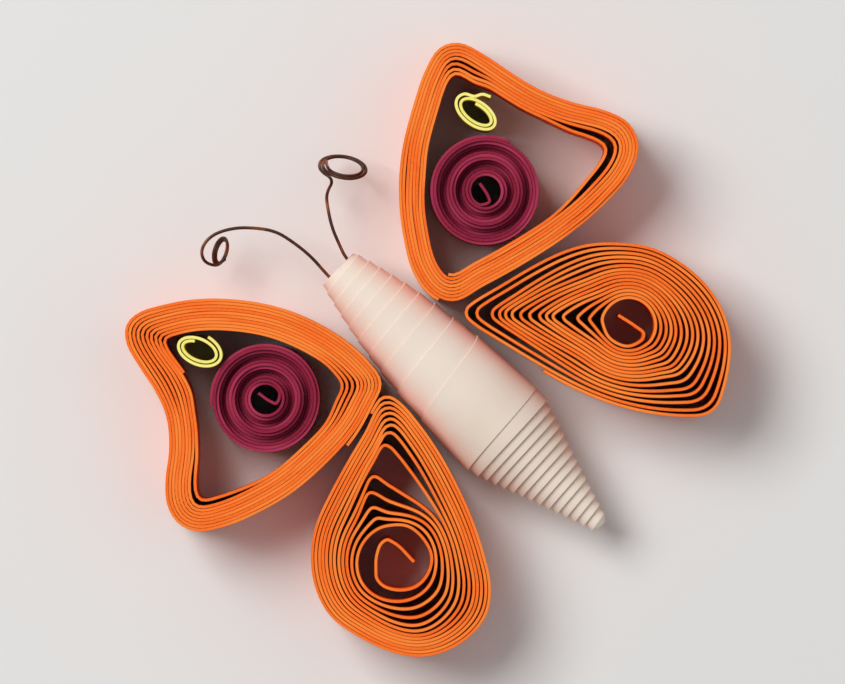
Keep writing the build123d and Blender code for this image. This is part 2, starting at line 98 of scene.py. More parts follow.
# %%
# A wing's outline is given by points (outward from the body's axis, toward the head), from its root
# on round. Reach is how far the wing spreads outward, and the outline is drawn to that size.
# A parting (turn, direction, half angle, width) is a place where the turns from that one on inward
# stand off from the turn outside them. Directions are in degrees, 0 is outward, 90 toward the head.
# The play is what the eyespot coil's radius leaves free in the opening, and its seat is the direction
# that it is pushed in. The loose coil lies in its own direction from the eyespot coil, and its loose
# end is given by directions from its middle and shares of the way to the wing's wall.
LEFT_FOREWING = dict(
    side=-1,
    reach=12.27,
    turns=9.5,
    seam=250,
    centre=(7.9, 7.5),
    outline=[
        (2.62, 3.5), (2.38, 4.7), (2.45, 6.2), (2.9, 8.0), (3.65, 9.7), (4.85, 11.4), (6.3, 12.85),
        (7.7, 13.8), (8.8, 14.35), (9.6, 14.38), (10.2, 13.8), (10.6, 12.5), (10.9, 11.0),
        (11.35, 9.75), (12.4, 8.5), (13.7, 7.45), (14.45, 6.5), (14.65, 5.5), (14.3, 4.65),
        (13.1, 3.8), (11.2, 3.05), (9.0, 2.55), (7.0, 2.42), (5.2, 2.62), (3.6, 3.12),
    ],
    partings=[
        (1, 262, 34, 0.09), (3, 66, 34, 0.07), (5, 60, 36, 0.10), (7, 57, 32, 0.05),
        (7, 222, 26, 0.07), (8, 222, 26, 0.08), (9, 221, 24, 0.07), (9, 336, 34, 0.20),
    ],
    eyespot_play=0.20,
    eyespot_seat=265,
    loose_direction=80,
    loose_tilt=66,
    loose_half_width=0.86,
    loose_start=165,
    loose_end=[],
)
RIGHT_FOREWING = dict(
    side=1,
    reach=12.9,
    turns=8,
    seam=205,
    centre=(8.2, 7.3),
    outline=[
        (2.4, 3.95), (2.02, 4.9), (2.2, 6.3), (3.1, 7.95), (4.3, 9.5), (5.9, 10.95), (7.8, 12.15),
        (9.7, 13.1), (10.8, 13.35), (11.6, 12.9), (12.1, 11.6), (12.45, 10.0), (12.85, 8.5),
        (13.6, 6.9), (14.5, 5.45), (14.9, 4.2), (14.45, 3.05), (13.2, 2.35), (11.4, 2.15),
        (9.0, 2.28), (6.6, 2.72), (4.2, 3.35),
    ],
    partings=[
        (2, 138, 30, 0.05), (5, 57, 13, 0.10), (6, 57, 15, 0.16), (7, 328, 34, 0.12),
        (8, 322, 46, 0.34),
    ],
    eyespot_play=0.52,
    eyespot_seat=225,
    loose_direction=52,
    loose_tilt=99,
    loose_half_width=0.78,
    loose_start=70,
    loose_end=[(52, 0.3), (30, 0.7), (5, 0.8)],
)
# A hindwing is a roll let loose: its turns share out the free room between the outline and the core.
# A share of 0 leaves a turn tight against those outside it, and 1 draws it in against the core. The
# shares are listed turn by turn for the direction of the root, for the opposite side and for the
# flanks. A swing turns the pinched corner of a turn away from the root's direction, in degrees.
LEFT_HINDWING = dict(
    side=-1,
    reach=9.82,
    turns=12,
    seam=125,
    centre=(8.2, -3.2),
    core=(1.85, 1.75),
    outline=[
        (2.85, 3.1), (2.6, 2.2), (2.66, 0.9), (2.92, -0.8), (3.37, -2.5), (3.97, -4.2),
        (4.77, -5.9), (5.7, -7.4), (6.75, -8.22), (8.0, -8.42), (9.4, -8.15), (10.6, -7.45),
        (11.5, -6.2), (12.1, -4.6), (12.42, -2.95), (12.05, -1.55), (11.2, -0.25), (10.0, 0.75),
        (8.2, 1.5), (6.3, 2.1), (4.7, 2.55), (3.5, 3.0),
    ],
    root_shares=[0, 0, 0, 0, 0.02, 0.03, 0.06, 0.13, 0.48, 0.62, 0.82, 0.92, 1],
    flank_shares=[0, 0, 0.05, 0.1, 0.1, 0.15, 0.25, 0.3, 0.45, 0.5, 0.6, 0.8, 1],
    far_shares=[0, 0, 0, 0, 0, 0, 0, 0, 0.1, 0.22, 0.52, 0.76, 1],
    root_spread=62,
    far_spread=70,
    swings=[0, 0, 0, 0, 0, 0, -1, -4, -15, -24, -28, -28, -28],
    fold=[(-1.62, 0.85), (-1.76, -0.2), (-1.42, -1.1), (-0.75, -1.53), (0.1, -1.58), (0.85, -1.1),
          (1.25, -0.3), (1.2, 0.06), (0.95, 0.36), (0.4, 0.86), (-0.2, 1.1), (-0.47, 1.03),
          (-0.58, 0.76), (-0.65, -0.65)],
)
RIGHT_HINDWING = dict(
    side=1,
    reach=9.75,
    turns=15,
    seam=165,
    centre=(8.05, -2.8),
    core=(1.18, 1.18),
    outline=[
        (2.4, 3.5), (2.42, 2.6), (2.68, 1.4), (3.02, 0.0), (3.43, -1.6), (4.0, -3.4), (4.75, -5.1),
        (5.8, -6.8), (6.9, -8.1), (7.7, -8.78), (8.2, -8.88), (9.0, -8.5), (10.1, -7.8),
        (11.2, -6.75), (11.9, -5.4), (12.15, -4.0), (12.0, -2.4), (11.5, -0.9), (10.6, 0.3),
        (9.3, 1.5), (7.9, 2.2), (6.4, 2.65), (4.8, 3.02), (3.2, 3.4),
    ],
    root_shares=[0, 0, 0.08, 0.2, 0.2, 0.21, 0.23, 0.28, 0.33, 0.4, 0.42, 0.45, 0.55, 0.72, 0.84, 1],
    flank_shares=[0, 0.05, 0.2, 0.32, 0.4, 0.52, 0.66, 0.7, 0.72, 0.75, 0.8, 0.85, 0.88, 0.92, 0.96, 1],
    far_shares=[0, 0, 0.07, 0.14, 0.2, 0.27, 0.35, 0.42, 0.49, 0.58, 0.67, 0.72, 0.77, 0.85, 0.93, 1],
    root_spread=55,
    far_spread=60,
    swings=[0] * 16,
    fold=[(-1.08, -0.3), (-0.8, -0.78), (-0.35, -1.0), (0.0, -1.02), (0.2, -0.84), (0.16, -0.45),
          (-0.08, 0.62)],
)
wings = (LEFT_FOREWING, RIGHT_FOREWING, LEFT_HINDWING, RIGHT_HINDWING)
print("the wings reach", [wing["reach"] for wing in wings], "mm")

# %% [markdown]
# ## Curves in the plane
# A curve is an array of points. These helpers draw smooth curves through points, measure distances to
# them and slide one curve along until it meets another, the way that a wing is pushed against the body.

# %%
def hermite(start, end, start_slope, end_slope, steps):
    """Points of the smooth span from each start to each end, without the last one."""
    u = np.linspace(0, 1, steps, endpoint=False)[None, :, None]
    start, end, start_slope, end_slope = (part[:, None] for part in (start, end, start_slope, end_slope))
    return ((1 + 2 * u) * (1 - u) ** 2 * start + u * (1 - u) ** 2 * start_slope
            + u ** 2 * (3 - 2 * u) * end - u ** 2 * (1 - u) * end_slope).reshape(-1, 2)


def closed_curve(points, count):
    """A smooth closed curve through the points, as evenly spaced places."""
    points = np.array(points, float)
    span_in = np.linalg.norm(points - np.roll(points, 1, axis=0), axis=1)[:, None]
    span_out = np.roll(span_in, -1, axis=0)
    after = (np.roll(points, -1, axis=0) - points) / span_out
    before = (points - np.roll(points, 1, axis=0)) / span_in
    slope = (span_in * after + span_out * before) / (span_in + span_out)
    next_slope = np.roll(slope, -1, axis=0)
    dense = hermite(points, np.roll(points, -1, axis=0), slope * span_out, next_slope * span_out, 40)
    return evenly(np.vstack([dense, dense[:1]]), count + 1)[:-1]


def evenly(line, count):
    """The line of points again, as evenly spaced ones."""
    travelled = np.concatenate([[0], np.cumsum(np.linalg.norm(np.diff(line, axis=0), axis=1))])
    places = np.linspace(0, travelled[-1], count)
    return np.column_stack([np.interp(places, travelled, line[:, axis]) for axis in (0, 1)])


def open_curve(points, spacing):
    """A smooth open curve through the points."""
    points = np.array(points, float)
    spans = np.linalg.norm(np.diff(points, axis=0), axis=1)[:, None]
    rates = np.diff(points, axis=0) / spans
    slope = np.vstack([rates[:1], (spans[:-1] * rates[1:] + spans[1:] * rates[:-1])
                       / (spans[:-1] + spans[1:]), rates[-1:]])
    dense = hermite(points[:-1], points[1:], slope[:-1] * spans, slope[1:] * spans, 30)
    dense = np.vstack([dense, points[-1:]])
    length = np.linalg.norm(np.diff(dense, axis=0), axis=1).sum()
    return evenly(dense, max(4, round(length / spacing) + 1))


def distance_to(curve, places):
    """Distance from each place to the closed curve."""
    run = np.roll(curve, -1, axis=0) - curve
    offset = places[:, None] - curve[None]
    share = np.clip((offset * run).sum(axis=2) / (run * run).sum(axis=1), 0, 1)
    return np.linalg.norm(offset - share[..., None] * run, axis=2).min(axis=1)


def inside(curve, places):
    """Which of the places the closed curve goes round."""
    start = curve[None]
    end = np.roll(curve, -1, axis=0)[None]
    x, y = places[:, :1], places[:, 1:]
    spans = (start[..., 1] > y) != (end[..., 1] > y)
    rise = np.where(end[..., 1] == start[..., 1], 1, end[..., 1] - start[..., 1])
    crossing = start[..., 0] + (y - start[..., 1]) / rise * (end[..., 0] - start[..., 0])
    return (spans & (x < crossing)).sum(axis=1) % 2 == 1


def clear(curve, obstacle, gap):
    """Whether the closed curve stays at least the gap outside the obstacle."""
    return distance_to(obstacle, curve).min() >= gap and not inside(obstacle, curve).any()


def slid(curve, obstacle, direction):
    """The closed curve moved along the direction until only the glue lies between it and the obstacle."""
    direction = np.array(direction, float)
    free, blocked = -10.0, 10.0
    for _ in range(40):
        middle = (free + blocked) / 2
        if clear(curve + middle * direction, obstacle, glue_gap):
            free = middle
        else:
            blocked = middle
    return curve + free * direction


def reach_at(curve, centre, degrees):
    """Distance from a centre inside the closed curve to the curve, in the direction given."""
    away = curve - centre
    angle = np.arctan2(away[:, 1], away[:, 0])
    order = np.argsort(angle)
    distance = np.linalg.norm(away, axis=1)[order]
    return float(np.interp(math.radians(degrees), angle[order], distance, period=2 * math.pi))


def toward(degrees):
    return np.array([math.cos(math.radians(degrees)), math.sin(math.radians(degrees))])
print("helpers for plane curves are ready")

# %% [markdown]
# ## Turns inside a wing
# From a centre inside a wing, a ray goes to each place on its outline. A turn is then a list of radii,
# one for each ray, and a strip winds inward by passing gradually from one turn to the next.

# %%
class Plan:
    """The outline of a wing, seen from a centre inside it along one ray to each place round its edge."""

    def __init__(self, curve, centre):
        self.curve = curve
        self.centre = np.array(centre, float)
        self.rays = curve - self.centre
        self.reach = np.linalg.norm(self.rays, axis=1)
        self.angle = np.arctan2(self.rays[:, 1], self.rays[:, 0])
        self.share = np.linspace(1, 0.04, depth_steps)
        places = self.centre + self.share[None, :, None] * self.rays[:, None]
        depths = distance_to(curve, places.reshape(-1, 2)).reshape(len(curve), -1)
        self.depths = np.maximum.accumulate(depths, axis=1)

    def inset(self, depth):
        """Radii at which the rays meet the outline set in by the depth, which may differ by ray."""
        depth = np.broadcast_to(depth, self.reach.shape)
        found = [np.interp(wanted, row, self.share) for wanted, row in zip(depth, self.depths)]
        return np.array(found) * self.reach

    def at_angle(self, radii, angle):
        """Radii read at other angles than the rays' own."""
        order = np.argsort(self.angle)
        return np.interp(angle, self.angle[order], radii[order], period=2 * math.pi)

    def window(self, direction, half_angle):
        """1 toward the direction, falling smoothly to 0 at the half angle each side of it."""
        away = (self.angle - math.radians(direction) + math.pi) % (2 * math.pi) - math.pi
        return np.where(np.abs(away) < math.radians(half_angle),
                        np.cos(away * 90 / half_angle) ** 2, 0)

    def soften(self, radii, passes):
        """The radii with each pinched corner eased to the bend that paper can take."""
        for _ in range(passes):
            radii = (np.roll(radii, 1) + 2 * radii + np.roll(radii, -1)) / 4
        return radii

    def place(self, radii):
        return self.centre + self.rays / self.reach[:, None] * radii[:, None]


def forewing_turns(wing, plan):
    """Nested closed turns of a ring wound round a form, each as radii along the plan's rays."""
    turns = []
    for number in range(math.ceil(wing["turns"]) + 1):
        depth = paper / 2 + pitch * number
        for first, direction, half_angle, width in wing["partings"]:
            if number >= first:
                depth = depth + width * plan.window(direction, half_angle)
        turns.append(plan.soften(plan.inset(depth), 2))
    return turns


def hindwing_turns(wing, plan):
    """Nested closed turns of a teardrop, loose between its outline and its round core."""
    root_angle = math.degrees(plan.angle[0])
    near_root = plan.window(root_angle, wing["root_spread"])
    near_far = plan.window(root_angle + 180, wing["far_spread"])
    across, along = wing["core"]
    core = 1 / np.hypot(np.cos(plan.angle) / across, np.sin(plan.angle) / along)
    turns = []
    for number in range(wing["turns"] + 1):
        share = (wing["root_shares"][number] * near_root + wing["far_shares"][number] * near_far
                 + wing["flank_shares"][number] * (1 - near_root - near_far))
        outer = plan.inset(paper / 2 + pitch * number)
        swing = math.radians(wing["swings"][number])
        outer = plan.at_angle(outer, plan.angle - swing * near_root)
        inner = core + pitch * (wing["turns"] - number)
        radii = (1 - share) * outer + share * np.minimum(inner, outer)
        if turns:
            radii = np.minimum(radii, turns[-1] - step_in(turns[-1], plan))
        turns.append(plan.soften(radii, 4))
    return turns


def step_in(radii, plan):
    """How much shorter the radii become when a turn is followed at one pitch inside it."""
    places = plan.place(radii)
    along = np.roll(places, -1, axis=0) - np.roll(places, 1, axis=0)
    along = along / np.linalg.norm(along, axis=1)[:, None]
    ray = plan.rays / plan.reach[:, None]
    facing = np.abs(along[:, 0] * ray[:, 1] - along[:, 1] * ray[:, 0])
    return pitch / np.maximum(facing, 0.35)


def spiral(turns, plan, count, seam):
    """One line that winds from the outermost turn inward, passing gradually from turn to turn."""
    rays = len(plan.rays)
    start = int(np.argmin(1 - np.cos(plan.angle - math.radians(seam))))
    line = []
    for number in range(int(count * rays) + 1):
        turn, step = divmod(number, rays)
        ray = (start + step) % rays
        passed = step / rays
        deeper = min(turn + 1, len(turns) - 1)
        radius = (1 - passed) * turns[turn][ray] + passed * turns[deeper][ray]
        line.append(plan.centre + plan.rays[ray] / plan.reach[ray] * radius)
    return np.array(line)
print("helpers for turns are ready")

# %% [markdown]
# ## The line of each strip
# Each line starts at the strip's outer end. The wings are drawn on the right and mirrored by their side.

# %%
def eyespot_line(centre, radius):
    """A tight round coil, from its outer end in to the fold that crosses its hole."""
    turns = (radius - paper / 2 - eyespot_hole) / pitch
    angle = np.linspace(0, 2 * math.pi * turns, int(turns * 60))
    distance = radius - paper / 2 - pitch * angle / (2 * math.pi)
    angle = angle - angle[-1] + math.radians(200)
    coil = np.column_stack([distance * np.cos(angle), distance * np.sin(angle)])
    fold = [coil[-3], coil[-1], (-0.62 * eyespot_hole, -0.66 * eyespot_hole),
            (-0.28 * eyespot_hole, -0.72 * eyespot_hole), (-0.16 * eyespot_hole, -0.48 * eyespot_hole),
            (0.08 * eyespot_hole, 0.62 * eyespot_hole)]
    return centre + np.vstack([coil[:-3], open_curve(fold, 0.1)])


def loose_line(wing, eyespot_centre, eyespot_radius, half_width, opening):
    """An open oval coil beside the eyespot coil, from its outer end, which may reach the wing's wall."""
    slant = math.radians(wing["loose_tilt"] - wing["loose_direction"])
    support = math.hypot(loose_half_length * math.cos(slant), half_width * math.sin(slant))
    centre = eyespot_centre + toward(wing["loose_direction"]) * (eyespot_radius + glue_gap + support)
    outer = np.array([loose_half_length, half_width]) - paper / 2
    inner = outer * [loose_inner_length, loose_inner_width]
    angle = np.linspace(0, 2 * math.pi * loose_turns, oval_places)
    share = (angle / angle[-1])[:, None] ** 0.8
    size = (1 - share) * outer + share * inner
    angle = angle + math.radians(wing["loose_start"] - wing["loose_tilt"])
    long_way = toward(wing["loose_tilt"])
    short_way = toward(wing["loose_tilt"] + 90)
    oval = size[:, :1] * np.cos(angle)[:, None] * long_way + size[:, 1:] * np.sin(angle)[:, None] * short_way
    end = []
    for direction, way in wing["loose_end"]:
        start = reach_at(oval[-int(oval_places / loose_turns):], np.zeros(2), direction) + pitch
        wall = reach_at(opening, centre, direction) - paper - glue_gap
        end.append(toward(direction) * ((1 - way) * start + way * wall))
    if end:
        end = open_curve(end[::-1] + [oval[0], oval[1]], 0.12)[:-1]
        oval = np.vstack([end, oval[1:]])
    return centre + oval


def wing_line(wing, turns, plan):
    """The strip of a wing, from its outer end to its inner one, with the fold that the tool left."""
    line = spiral(turns, plan, wing["turns"], wing["seam"])
    if "fold" in wing:
        fold = [line[-2], line[-1]] + [plan.centre + point for point in wing["fold"]]
        line = np.vstack([line[:-2], open_curve(fold, 0.12)])
    return line


def wing_outline(wing):
    """The outline drawn to the wing's reach, grown from its root."""
    outline = np.array(wing["outline"], float)
    size = wing["reach"] / np.ptp(outline[:, 0])
    return outline[0] + size * (outline - outline[0]), size


# Solids


def body_rings():
    """The body's turns from the outermost in: radius, edge toward the tail, edge toward the head."""
    rings = []
    radius = body_radius
    while radius >= tail_radius:
        fall = (body_radius - radius) / (body_radius - tail_radius)
        rise = min(1, (body_radius - radius + pitch / 2) / (body_radius - head_radius))
        tail_edge = wrap_edge - (tail_reach + wrap_edge) * fall
        head_edge = wrap_edge + (head_reach - wrap_edge) * rise ** (1 / head_curve)
        rings.append((radius, tail_edge, head_edge))
        radius -= pitch
    return rings


def body_steps():
    """Places along the body's axis where its radius changes, from the tail on, each with the new radius."""
    rings = body_rings()
    steps = [(tail_edge, radius) for radius, tail_edge, _ in reversed(rings)]
    for (_, _, head_edge), (narrower, _, _) in zip(rings, rings[1:]):
        if head_edge < head_reach:
            steps.append((head_edge, narrower))
    return steps


def body_plan():
    """The body seen from above, as a closed curve."""
    half = [(0, body_steps()[0][0])]
    for (place, radius), (next_place, _) in zip(body_steps(), body_steps()[1:] + [(head_reach, 0)]):
        half += [(radius, place), (radius, next_place)]
    half = np.array(half + [(0, head_reach)])
    whole = np.vstack([half, half[-2:0:-1] * [-1, 1]])
    lean = math.radians(body_turn)
    lengthwise = np.array([-math.sin(lean), math.cos(lean)])
    across = np.array([math.cos(lean), math.sin(lean)])
    return whole[:, :1] * across + whole[:, 1:] * lengthwise


def forewing_lines(wing, body_outline):
    """The lines of the ring, the eyespot coil and the loose coil, and the ring's outline."""
    points, size = wing_outline(wing)
    curve = closed_curve(points, rays_round)
    placed = slid(curve, body_outline * [wing["side"], 1], (-1, 0))
    plan = Plan(placed, np.array(wing["centre"]) * size + (placed[0] - curve[0]) + (1 - size) * points[0])
    turns = forewing_turns(wing, plan)
    opening = plan.place(turns[-1])
    spread = np.linspace(-seat_search, seat_search, seat_places)
    places = plan.centre + np.stack(np.meshgrid(spread, spread), axis=-1).reshape(-1, 2)
    room = np.where(inside(opening, places), distance_to(opening, places) - paper / 2, 0)
    radius = room.max() - wing["eyespot_play"]
    fitting = places[room >= radius + glue_gap]
    centre = fitting[np.argmax(fitting @ toward(wing["eyespot_seat"]))]
    narrow, wide = narrowest_loose, wing["loose_half_width"]
    for _ in range(halvings):
        half_width = (narrow + wide) / 2
        loose = loose_line(wing, centre, radius, half_width, opening)
        if distance_to(opening, loose[-oval_places:]).min() < paper + glue_gap:
            wide = half_width
        else:
            narrow = half_width
    mirror = [wing["side"], 1]
    ring = wing_line(wing, turns, plan)
    return ring * mirror, eyespot_line(centre, radius) * mirror, loose * mirror, placed, centre * mirror


def hindwing_line(wing, body_outline, forewing_outline):
    """The line of a teardrop, pushed up to the forewing and against the body."""
    points, size = wing_outline(wing)
    curve = closed_curve(points, rays_round)
    placed = curve
    for _ in range(3):
        placed = slid(placed, body_outline * [wing["side"], 1], (-1, 0))
        placed = slid(placed, forewing_outline, (0, 1))
    plan = Plan(placed, np.array(wing["centre"]) * size + (placed[0] - curve[0]) + (1 - size) * points[0])
    return wing_line(wing, hindwing_turns(wing, plan), plan) * [wing["side"], 1]


lines = {}
outline_of_body = body_plan()
eyespot_centres = {}
for side, fore, hind in (("left", LEFT_FOREWING, LEFT_HINDWING), ("right", RIGHT_FOREWING, RIGHT_HINDWING)):
    ring, eyespot, loose, ring_outline, centre = forewing_lines(fore, outline_of_body)
    lines[side + "_forewing"] = ring
    lines[side + "_eyespot_coil"] = eyespot
    lines[side + "_loose_coil"] = loose
    lines[side + "_hindwing"] = hindwing_line(hind, outline_of_body, ring_outline)
    eyespot_centres[side + "_eyespot_coil"] = centre

# The model's origin is under the middle of the whole, the lines' is under the middle of the body.
low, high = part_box("right_forewing")
line = lines["right_forewing"]
shift = (np.array(low) + np.array(high))[:2] / 2 / mm - (line.min(axis=0) + line.max(axis=0)) / 2
for name, line in lines.items():
    length = np.linalg.norm(np.diff(line, axis=0), axis=1).sum()
    print(f"{name}: {length:.0f} mm of strip")
print("the lines move by", shift, "mm")

# %% [markdown]
# ## Shader nodes as sums
# A `Value` wraps a node's output, so that a material is written as a sum. Python calls `__add__` for
# `fibres + 0.8` and the reflected `__radd__` for `0.8 + fibres`, and both make the same kind of node.
# Every node in a material comes from the one method `node`.

# %%
class Value:
    """A node's output that can be added to and multiplied."""

    def __init__(self, tree, socket):
        self.tree = tree
        self.socket = socket

    def node(self, kind, inputs, output=0, **settings):
        """Makes one node with the settings and inputs, and returns one of its outputs."""
        made = self.tree.nodes.new(kind)
        for setting, wanted in settings.items():
            setattr(made, setting, wanted)
        for key, wanted in inputs.items():
            if isinstance(wanted, Value):
                self.tree.links.new(wanted.socket, made.inputs[key])
            else:
                made.inputs[key].default_value = wanted
        return Value(self.tree, made.outputs[output])

    def math(self, operation, first, second=0.0):
        return self.node("ShaderNodeMath", {0: first, 1: second}, operation=operation)

    def __add__(self, other):
        return self.math("ADD", self, other)

    def __radd__(self, other):
        return self.math("ADD", other, self)

    def __sub__(self, other):
        return self.math("SUBTRACT", self, other)

    def __rsub__(self, other):
        return self.math("SUBTRACT", other, self)

    def __mul__(self, other):
        return self.math("MULTIPLY", self, other)

    def __rmul__(self, other):
        return self.math("MULTIPLY", other, self)

    def __truediv__(self, other):
        return self.math("DIVIDE", self, other)

    def __rtruediv__(self, other):
        return self.math("DIVIDE", other, self)

    def noise(self, scale, detail=2.0, roughness=0.5):
        """Noise of about the scale's number of lumps to the metre, from 0 to 1."""
        return self.node("ShaderNodeTexNoise", {"Vector": self, "Scale": scale, "Detail": detail,
                                                "Roughness": roughness})

    def ramp(self, low, high):
        """0 below the low value, 1 above the high one, smooth between."""
        return self.node("ShaderNodeMapRange", {"Value": self, "From Min": low, "From Max": high},
                         interpolation_type="SMOOTHSTEP")

    def mix(self, first, second):
        """The first colour where this is 0, the second where it is 1."""
        return self.node("ShaderNodeMix", {0: self, 6: first, 7: second}, output=2, data_type="RGBA")

    def feed(self, shader, name):
        """Leads this value into the shader's input of that name."""
        self.tree.links.new(self.socket, shader.inputs[name])


def linear(red, green, blue):
    """A colour written as 0 to 255 on the screen, as the numbers that light adds up in."""
    parts = np.array([red, green, blue]) / 255
    light = np.where(parts <= 0.04045, parts / 12.92, ((parts + 0.055) / 1.055) ** 2.4)
    return (*light.tolist(), 1.0)


def new_material(name):
    """An empty material: its shader, and the place on the object as a Value."""
    material = bpy.data.materials.new(name)
    material.use_nodes = True
    tree = material.node_tree
    tree.nodes.clear()
    shader = tree.nodes.new("ShaderNodeBsdfPrincipled")
    output = tree.nodes.new("ShaderNodeOutputMaterial")
    tree.links.new(shader.outputs[0], output.inputs["Surface"])
    place = Value(tree, tree.nodes.new("ShaderNodeTexCoord").outputs["Object"])
    return material, shader, place


print("a colour of 128 on the screen is", round(linear(128, 128, 128)[0], 3), "as light")

# %% [markdown]
# ## Paper and wire
# Dyed paper is one colour all through. What makes it look like paper is that the tone drifts along the
# strip, that clouds of paler pulp cross it, and that the cut edge shows its fibres. The drift follows the
# number `along` that each mesh carries, so neighbouring turns differ as the real ones do.

# %%
drift_lumps = 140.0        # changes of tone to the metre along a strip
cloud_lumps = 260.0        # clouds of pulp to the metre
fibre_lumps = 9000.0       # fibres to the metre
fibre_height = 0.03        # how far the fibres stand out, in millimetres
glint_lumps = 900.0         # painted glints to the metre on the wire: lighter copper patches that stand in for light shining off it


def attribute(place, name):
    """A number that the mesh carries at each corner."""
    return place.node("ShaderNodeAttribute", {}, output="Fac", attribute_name=name)


def paper_material(name, dark, plain, light, cut):
    """Paper dyed through: its tone drifts along the strip, its cut edge is lighter and rougher."""
    material, shader, place = new_material(name)
    along = attribute(place, "along")
    edge = attribute(place, "edge")
    drift = along.node("ShaderNodeTexNoise", {"W": along, "Scale": drift_lumps, "Detail": 2.0},
                       noise_dimensions="1D")
    cloud = place.noise(cloud_lumps, 3.0)
    fibre = place.noise(fibre_lumps, 3.0, 0.65)
    tone = (0.6 * drift + 0.4 * cloud).ramp(0.30, 0.62)
    colour = tone.mix(dark, plain)
    fibres_shown = edge * (0.35 + 0.65 * fibre.ramp(0.35, 0.65))
    colour = fibres_shown.mix(colour, cut)
    brightest = edge * drift.ramp(0.42, 0.62) * 0.6
    colour = brightest.mix(colour, light)
    colour.feed(shader, "Base Color")
    (0.62 + 0.3 * fibre).feed(shader, "Roughness")
    shader.inputs["Specular IOR Level"].default_value = 0.25
    bump = place.node("ShaderNodeBump", {"Height": fibre, "Strength": 0.35, "Distance": fibre_height * mm})
    bump.feed(shader, "Normal")
    return material


def wire_material():
    """Copper under dark enamel, with lighter copper patches at random places painted in as a glint of light.
    """
    material, shader, place = new_material("copper_wire")
    # painted glint: random patches of lighter copper colour, smoother there, stand in for light shining off
    # the wire
    painted_glint = place.noise(glint_lumps).ramp(0.45, 0.7)
    painted_glint.mix(linear(74, 42, 26), linear(150, 84, 50)).feed(shader, "Base Color")
    (0.45 - 0.15 * painted_glint).feed(shader, "Roughness")
    shader.inputs["Metallic"].default_value = 0.55
    return material


# Each paper's colours: where the dye is dark, where it is plain, the brightest cut edge and the usual one.
materials = {
    "orange_paper": paper_material("orange_paper", linear(238, 90, 14), linear(251, 108, 24),
                                   linear(255, 146, 58), linear(255, 120, 36)),
    "magenta_paper": paper_material("magenta_paper", linear(108, 8, 34), linear(140, 18, 50),
                                    linear(184, 60, 94), linear(150, 28, 62)),
    "yellow_paper": paper_material("yellow_paper", linear(222, 200, 50), linear(244, 228, 88),
                                   linear(255, 246, 150), linear(252, 240, 120)),
    "cream_paper": paper_material("cream_paper", linear(228, 210, 192), linear(240, 225, 210),
                                  linear(250, 238, 226), linear(246, 232, 218)),
    "copper_wire": wire_material(),
}
print("materials:", ", ".join(materials))

# %% [markdown]
# ## A strip of paper along a line, in Geometry Nodes
# The line becomes a curve, and a thin rectangle with eased corners is swept along it. The strip's upper
# edge rises and falls a little, because no roll is pressed perfectly level. Each corner of the mesh
# carries how far along the strip it lies, and whether it is on a cut edge, for the paper's material.

# %%
wave_lumps = 170.0         # rises and falls of the upper edge to the metre
near_edge = 0.4999         # share of the strip's width beyond which a corner of its section is on a cut edge


